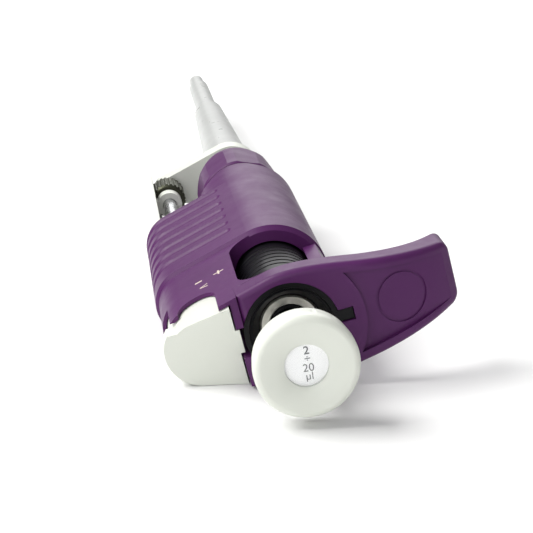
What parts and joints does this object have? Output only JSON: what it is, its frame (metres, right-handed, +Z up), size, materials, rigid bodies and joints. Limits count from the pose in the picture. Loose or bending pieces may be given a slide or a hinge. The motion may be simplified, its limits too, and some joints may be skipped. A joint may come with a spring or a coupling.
{
  "type": "micropipette",
  "caption": "Adjustable laboratory micropipette with a push button, curled finger rest, setting wheel, counter window and sliding tip ejector.",
  "frame": {"origin": "bottom centre of the bounding box, on the bench the pipette lies on", "axes": "+Y along the spindle from the push button to the tip cone, +Z up from the bench, +X towards the finger rest"},
  "size_m": [0.0542, 0.258, 0.0242],
  "materials": {
    "purple_plastic": "fine satin",
    "white_plastic": "smooth satin",
    "black_plastic": "satin",
    "shaft_plastic": "pearl grey",
    "ring_aluminium": "turned",
    "steel": "ground",
    "spring_steel": "drawn",
    "brass": "turned",
    "olive_knob": "dark anodised, knurled",
    "rubber": "matt",
    "label": "printed",
    "clear": "clear",
    "drum_plastic": "printed numbers"
  },
  "bodies": {
    "handle": {"grip": "purple_plastic", "display_window": "clear", "ejector_housing": "purple_plastic", "finger_rest": "purple_plastic", "lock_ring": "black_plastic", "calibration_ring": "ring_aluminium", "stem_bush": "black_plastic", "bush_carrier": "black_plastic", "counter_frame": "black_plastic", "frame_screws": "steel", "friction_ring": "rubber", "blowout_spring": "spring_steel", "collar_nut": "purple_plastic", "shaft": "shaft_plastic", "tip_cone": "shaft_plastic", "piston_seal": "white_plastic", "seal_ring": "rubber", "seal_bush": "white_plastic", "spring_seat": "steel", "plunger_spring": "spring_steel", "ejector_spring": "spring_steel"},
    "setting": {"thumbwheel": "black_plastic", "setting_sleeve": "steel", "drum_low": "drum_plastic"},
    "counter_middle": {"drum_middle": "drum_plastic"},
    "counter_high": {"drum_high": "drum_plastic"},
    "stop": {"stop_nut": "brass"},
    "plunger": {"stop_cup": "black_plastic", "piston_rod": "steel", "piston_head": "steel", "piston": "steel"},
    "button": {"push_button": "white_plastic", "button_label": "label", "label_lens": "clear", "button_stem": "black_plastic"},
    "ejector": {"ejector_button": "white_plastic", "ejector_rod": "steel", "spring_cap": "black_plastic"},
    "sleeve_carrier": {"carrier": "white_plastic", "ejector_sleeve": "shaft_plastic"},
    "trim": {"trim_wheel": "olive_knob"}
  },
  "joints": [
    {"name": "stop_travel", "type": "slide", "parent": "handle", "child": "stop", "axis": [0, -1, 0], "range_m": [-0.00452, 0.00565]},
    {"name": "volume_turn", "type": "hinge", "parent": "handle", "child": "setting", "pos_m": [-0.00428, -0.086, 0.011], "axis": [0, -1, 0], "range_deg": [-1441, 1801]},
    {"name": "counter_middle_turn", "type": "hinge", "parent": "handle", "child": "counter_middle", "pos_m": [-0.00428, -0.0583, 0.011], "axis": [0, -1, 0], "range_deg": [-289, 361]},
    {"name": "counter_high_turn", "type": "hinge", "parent": "handle", "child": "counter_high", "pos_m": [-0.00428, -0.0646, 0.011], "axis": [0, -1, 0], "range_deg": [-29, 37]},
    {"name": "plunger_press", "type": "slide", "parent": "stop", "child": "plunger", "axis": [0, 1, 0], "range_m": [0, 0.009], "stiffness_N_per_m": 320, "springref_m": -0.004, "deforming": ["plunger_spring", "blowout_spring"]},
    {"name": "button_turn", "type": "hinge", "parent": "plunger", "child": "button", "pos_m": [-0.00428, -0.121, 0.011], "axis": [0, -1, 0], "range_deg": [-1441, 1801]},
    {"name": "ejector_press", "type": "slide", "parent": "handle", "child": "ejector", "axis": [0, 1, 0], "range_m": [0, 0.009], "stiffness_N_per_m": 450, "springref_m": -0.004, "deforming": ["ejector_spring"]},
    {"name": "sleeve_travel", "type": "slide", "parent": "ejector", "child": "sleeve_carrier", "axis": [0, 1, 0], "range_m": [-0.0012, 0.0012]},
    {"name": "trim_turn", "type": "hinge", "parent": "sleeve_carrier", "child": "trim", "pos_m": [-0.02008, 0.0032, 0.007], "axis": [0, -1, 0], "range_deg": [-541, 541]}
  ],
  "couplings": [
    {"joint": "volume_turn", "follows": "stop_travel", "rad_per_m": 5560.3},
    {"joint": "button_turn", "follows": "stop_travel", "rad_per_m": 5560.3},
    {"joint": "counter_middle_turn", "follows": "stop_travel", "rad_per_m": 1112.1},
    {"joint": "counter_high_turn", "follows": "stop_travel", "rad_per_m": 111.21},
    {"joint": "trim_turn", "follows": "sleeve_travel", "rad_per_m": 7854}
  ]
}
